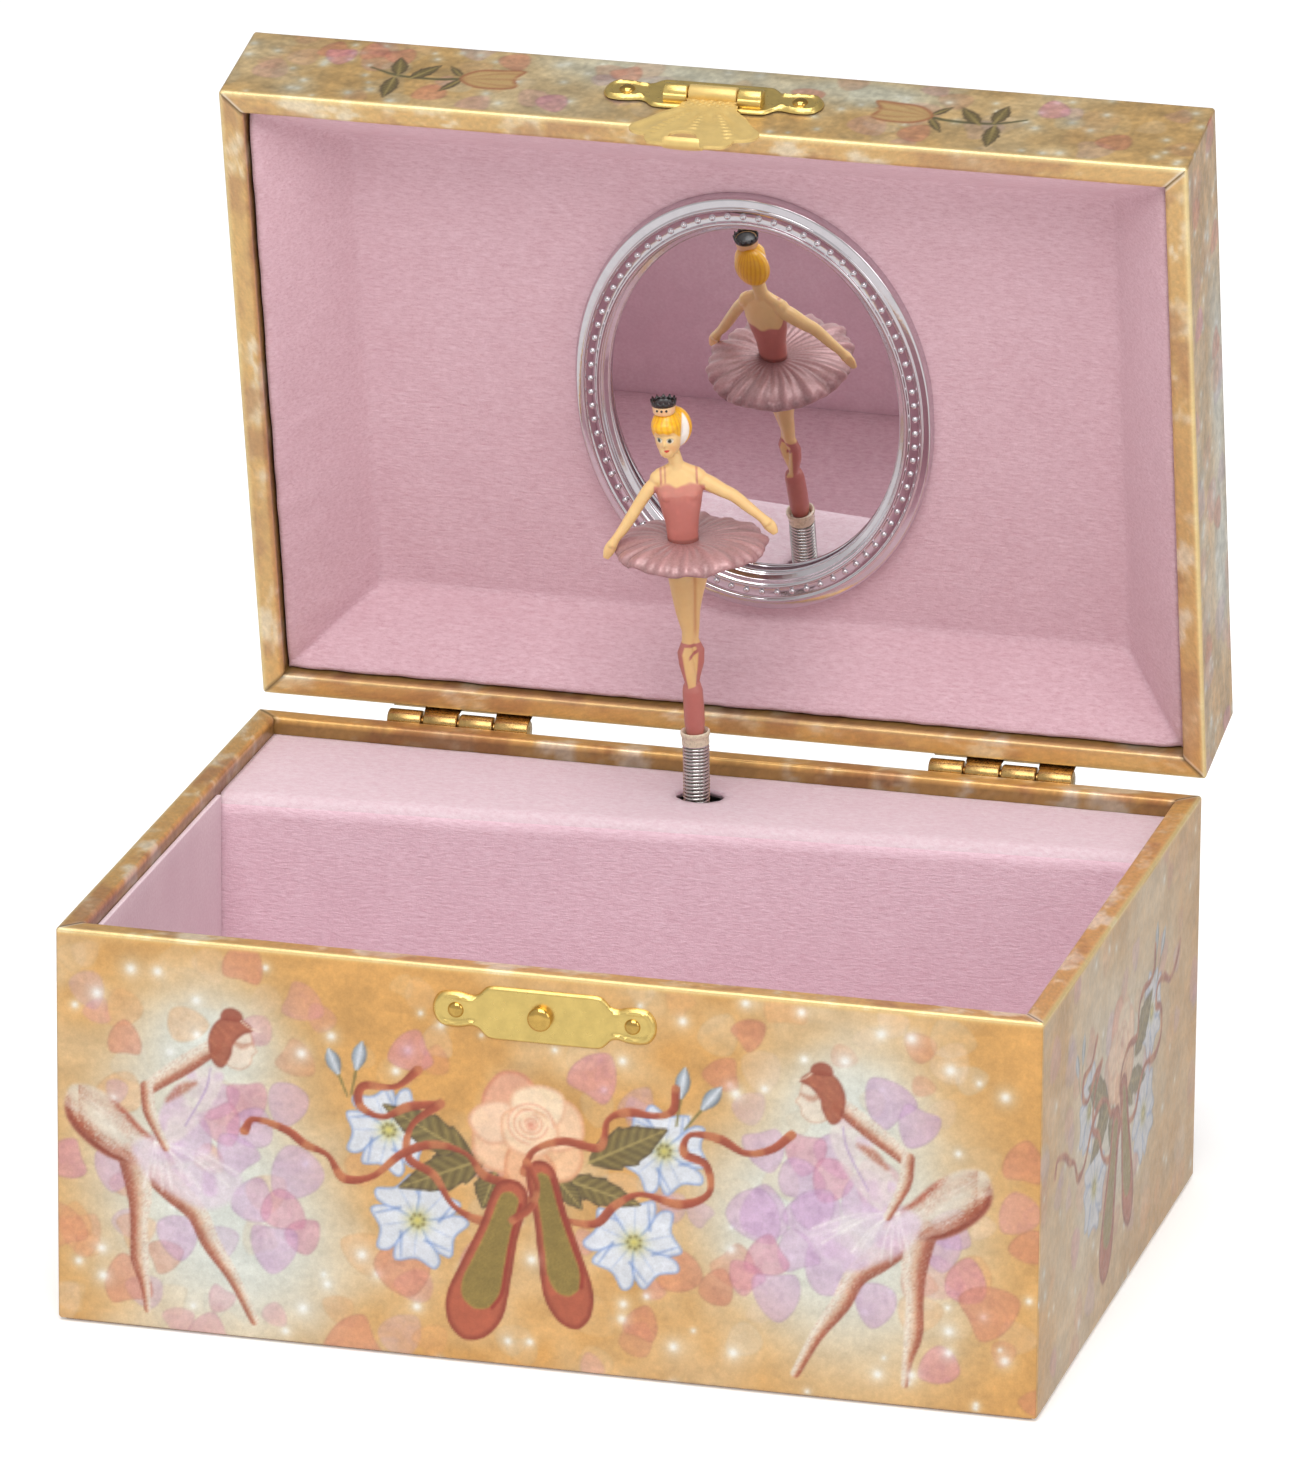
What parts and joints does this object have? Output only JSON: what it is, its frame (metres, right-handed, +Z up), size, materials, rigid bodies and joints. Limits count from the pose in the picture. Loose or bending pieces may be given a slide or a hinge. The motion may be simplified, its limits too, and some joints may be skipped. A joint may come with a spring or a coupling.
{
  "type": "ballerina jewellery box",
  "caption": "Paper-covered jewellery box with a hinged mirror lid, brass hasp and a dancer on a spring above a clockwork musical movement.",
  "frame": {"origin": "centre of the underside of the base, on the surface the box stands on", "axes": "+Z up, -Y towards the clasp at the front, +X to the right seen from the front; the lid stands open at rest"},
  "size_m": [0.152, 0.1306, 0.1744],
  "materials": {
    "printed_board": "foil-printed paper over thin board",
    "underside_paper": "matt printed paper",
    "pink_card": "card covered in pale pink paper",
    "flannel": "brushed pink flannel over card",
    "brass": "bright pressed brass",
    "steel": "plated steel",
    "chrome_plastic": "metallised plastic",
    "mirror": "silvered glass",
    "skin_plastic": "painted moulded plastic",
    "painted_plastic": "painted moulded plastic",
    "tutu_plastic": "pearl moulded plastic",
    "socket_plastic": "translucent white plastic"
  },
  "bodies": {
    "base": {"base_underside_paper": "underside_paper", "base_floor": "printed_board", "base_front_wall": "printed_board", "base_back_wall": "printed_board", "base_left_wall": "printed_board", "base_right_wall": "printed_board", "compartment_floor_pad": "flannel", "front_lining_card": "pink_card", "left_lining_card": "pink_card", "right_lining_card": "pink_card", "movement_cover": "pink_card", "latch_plate": "brass", "latch_knob": "brass", "latch_nail_left": "brass", "latch_nail_right": "brass", "left_hinge_base_leaf": "brass", "left_hinge_pin": "brass", "right_hinge_base_leaf": "brass", "right_hinge_pin": "brass", "movement_bedplate": "steel", "movement_screw_1": "steel", "movement_screw_2": "steel", "movement_screw_3": "steel", "music_comb": "steel", "comb_bed": "steel", "comb_screw_1": "steel", "comb_screw_2": "steel", "governor_frame": "brass"},
    "lid": {"lid_top_board": "printed_board", "lid_front_wall": "printed_board", "lid_back_wall": "printed_board", "lid_left_wall": "printed_board", "lid_right_wall": "printed_board", "lid_centre_pad": "flannel", "lid_left_pad": "flannel", "lid_right_pad": "flannel", "lid_front_pad": "flannel", "lid_back_pad": "flannel", "mirror_frame": "chrome_plastic", "mirror_glass": "mirror", "clasp_bracket": "brass", "clasp_pin": "brass", "clasp_nail_left": "brass", "clasp_nail_right": "brass", "left_hinge_lid_leaf": "brass", "right_hinge_lid_leaf": "brass"},
    "hasp": {"clasp_hasp": "brass"},
    "winding": {"winding_arbor": "steel", "winding_key": "steel"},
    "barrel": {"spring_barrel": "brass"},
    "cylinder": {"cylinder_arbor": "brass", "music_cylinder": "brass"},
    "fly_arbor": {"worm_wheel": "brass"},
    "worm": {"governor_worm": "steel"},
    "spindle": {"dancer_spindle": "brass"},
    "dancer_bend": {"dancer_spring": "steel"},
    "dancer": {"dancer_socket": "socket_plastic", "dancer_legs": "skin_plastic", "dancer_tutu": "tutu_plastic", "dancer_upper_body": "painted_plastic"}
  },
  "joints": [
    {"name": "lid_hinge", "type": "hinge", "parent": "base", "child": "lid", "pos_m": [0, 0.05568, 0.0626], "axis": [1, 0, 0], "range_deg": [0, 77.2]},
    {"name": "hasp_hinge", "type": "hinge", "parent": "lid", "child": "hasp", "pos_m": [0.0005, 0.04002, 0.17306], "axis": [-1, 0, 0], "range_deg": [-3.5, 110]},
    {"name": "winding_turn", "type": "hinge", "parent": "base", "child": "winding", "pos_m": [-0.0147, 0.0538, 0.04], "axis": [0, 1, 0], "continuous": true},
    {"name": "cylinder_spin", "type": "hinge", "parent": "base", "child": "cylinder", "pos_m": [0.014, 0.0384, 0.04], "axis": [1, 0, 0], "continuous": true},
    {"name": "barrel_spin", "type": "hinge", "parent": "base", "child": "barrel", "pos_m": [-0.0147, 0.044, 0.04], "axis": [0, 1, 0], "continuous": true},
    {"name": "fly_arbor_spin", "type": "hinge", "parent": "base", "child": "fly_arbor", "pos_m": [0.0288, 0.0384, 0.0476], "axis": [1, 0, 0], "continuous": true},
    {"name": "worm_spin", "type": "hinge", "parent": "base", "child": "worm", "pos_m": [0.0303, 0.0384, 0.0521], "axis": [0, 1, 0], "continuous": true},
    {"name": "spindle_spin", "type": "hinge", "parent": "base", "child": "spindle", "pos_m": [-0.0005, 0.0384, 0.05], "axis": [0, 0, 1], "continuous": true},
    {"name": "dancer_fold", "type": "hinge", "parent": "base", "child": "dancer_bend", "pos_m": [-0.0005, 0.0384, 0.062], "axis": [1, 0, 0], "range_deg": [0, 81.7], "deforming": ["dancer_spring"]},
    {"name": "dancer_spin", "type": "hinge", "parent": "dancer_bend", "child": "dancer", "pos_m": [-0.0005, 0.0384, 0.062], "axis": [-0.0384, -0.0836, 0.9958], "continuous": true}
  ],
  "couplings": [
    {"joint": "dancer_fold", "follows": "lid_hinge", "ratio": 1.057},
    {"joint": "barrel_spin", "follows": "cylinder_spin", "ratio": -0.1875},
    {"joint": "fly_arbor_spin", "follows": "cylinder_spin", "ratio": -3.75},
    {"joint": "worm_spin", "follows": "cylinder_spin", "ratio": -60},
    {"joint": "spindle_spin", "follows": "cylinder_spin", "ratio": -1.3333},
    {"joint": "dancer_spin", "follows": "cylinder_spin", "ratio": -1.3333}
  ]
}
